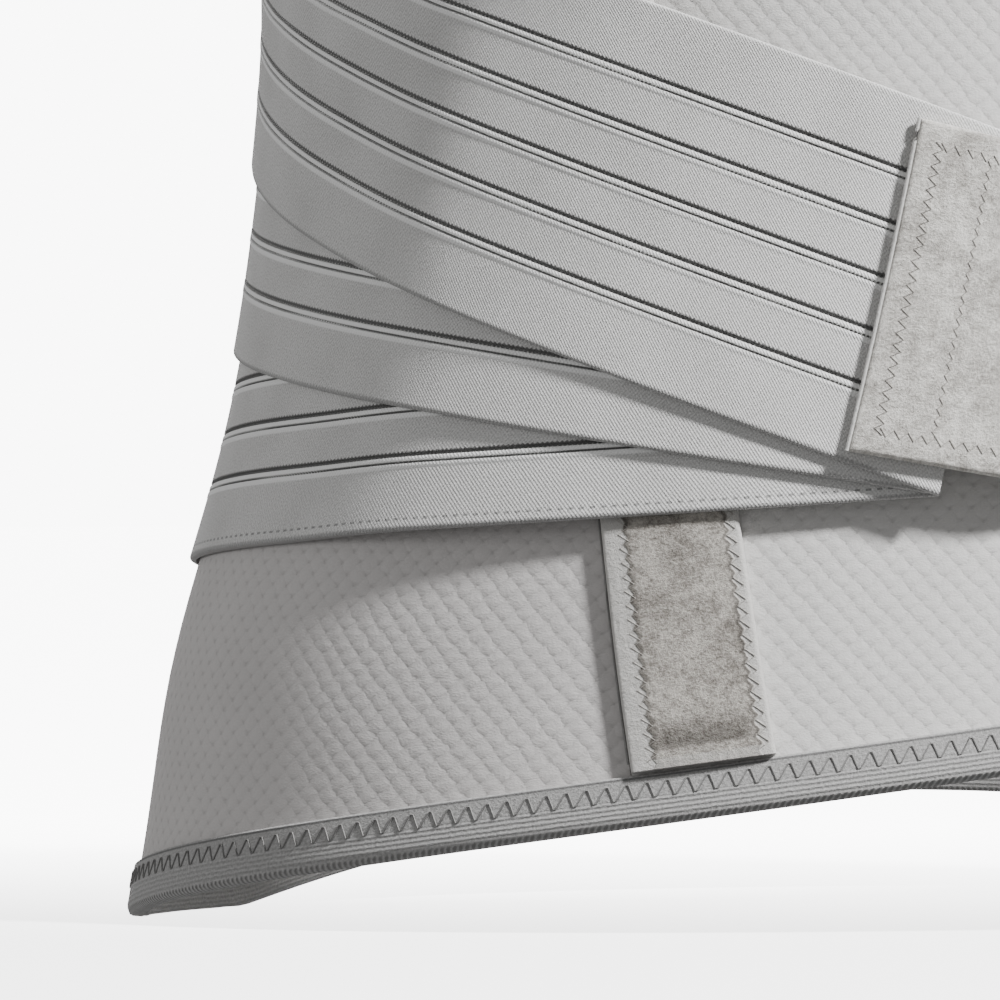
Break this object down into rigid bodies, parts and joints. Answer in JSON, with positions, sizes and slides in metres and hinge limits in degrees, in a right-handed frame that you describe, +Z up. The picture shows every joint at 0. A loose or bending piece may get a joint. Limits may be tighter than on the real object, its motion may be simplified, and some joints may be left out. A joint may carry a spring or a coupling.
{
  "type": "lumbar support belt",
  "caption": "Closed lumbar support belt with a stayed back panel, two overlapping front wings, and fanned elastic straps pulled by velour tabs.",
  "frame": {"origin": "middle of the belt's bounding box, at the floor it stands on", "axes": "+Z up the wearer's back, +X towards the wearer's left side, -Y towards the wearer's front"},
  "size_m": [0.4098, 0.25, 0.2634],
  "materials": {
    "knit_fabric": "light grey spacer knit with small raised scales",
    "binding_tape": "woven grey binding tape",
    "elastic_webbing": "ribbed grey elastic webbing",
    "channel_tape": "woven grey tape",
    "spring_steel": "flat spring steel",
    "plastic_stay": "matte flat strip",
    "hook_tape": "hook tape with short plastic hooks",
    "loop_velour": "brushed loop velour"
  },
  "bodies": {
    "back": {"back_panel": "knit_fabric", "back_stay_1": "spring_steel", "back_stay_2": "spring_steel", "back_stay_3": "spring_steel", "back_stay_4": "spring_steel", "bottom_binding_back": "binding_tape", "stay_channel_1": "channel_tape", "stay_channel_2": "channel_tape", "stay_channel_3": "channel_tape", "stay_channel_4": "channel_tape", "top_binding_back": "binding_tape"},
    "left_wing": {"bottom_binding_left": "binding_tape", "closure_hook_patch": "hook_tape", "end_binding_left": "binding_tape", "front_panel_left": "knit_fabric", "front_stay_left": "plastic_stay", "side_panel_left": "knit_fabric", "strap_anchor_left": "binding_tape", "top_binding_left": "binding_tape", "velour_strip_left": "loop_velour"},
    "left_straps": {"lower_strap_left": "elastic_webbing", "middle_strap_left": "elastic_webbing", "pull_tab_left": "loop_velour", "tab_hook_patch_left": "hook_tape", "upper_strap_left": "elastic_webbing"},
    "right_wing": {"bottom_binding_right": "binding_tape", "closure_loop_patch": "loop_velour", "end_binding_right": "binding_tape", "front_panel_right": "knit_fabric", "front_stay_right": "plastic_stay", "side_panel_right": "knit_fabric", "strap_anchor_right": "binding_tape", "top_binding_right": "binding_tape", "velour_strip_right": "loop_velour"},
    "right_straps": {"lower_strap_right": "elastic_webbing", "middle_strap_right": "elastic_webbing", "pull_tab_right": "loop_velour", "tab_hook_patch_right": "hook_tape", "upper_strap_right": "elastic_webbing"}
  },
  "joints": [
    {"name": "left_wing_open", "type": "hinge", "parent": "back", "child": "left_wing", "pos_m": [-0.16691, 0.07525, 0], "axis": [0, 0, -1], "range_deg": [0, 45]},
    {"name": "right_wing_open", "type": "hinge", "parent": "back", "child": "right_wing", "pos_m": [0.16691, 0.07525, 0], "axis": [0, 0, 1], "range_deg": [0, 18]},
    {"name": "left_straps_open", "type": "hinge", "parent": "left_wing", "child": "left_straps", "pos_m": [-0.16691, 0.07525, 0], "axis": [0, 0, -1], "range_deg": [0, 35]},
    {"name": "right_straps_open", "type": "hinge", "parent": "right_wing", "child": "right_straps", "pos_m": [0.16691, 0.07525, 0], "axis": [0, 0, 1], "range_deg": [0, 35]}
  ],
  "couplings": [
    {"joint": "right_wing_open", "follows": "left_wing_open", "ratio": 0.4}
  ]
}
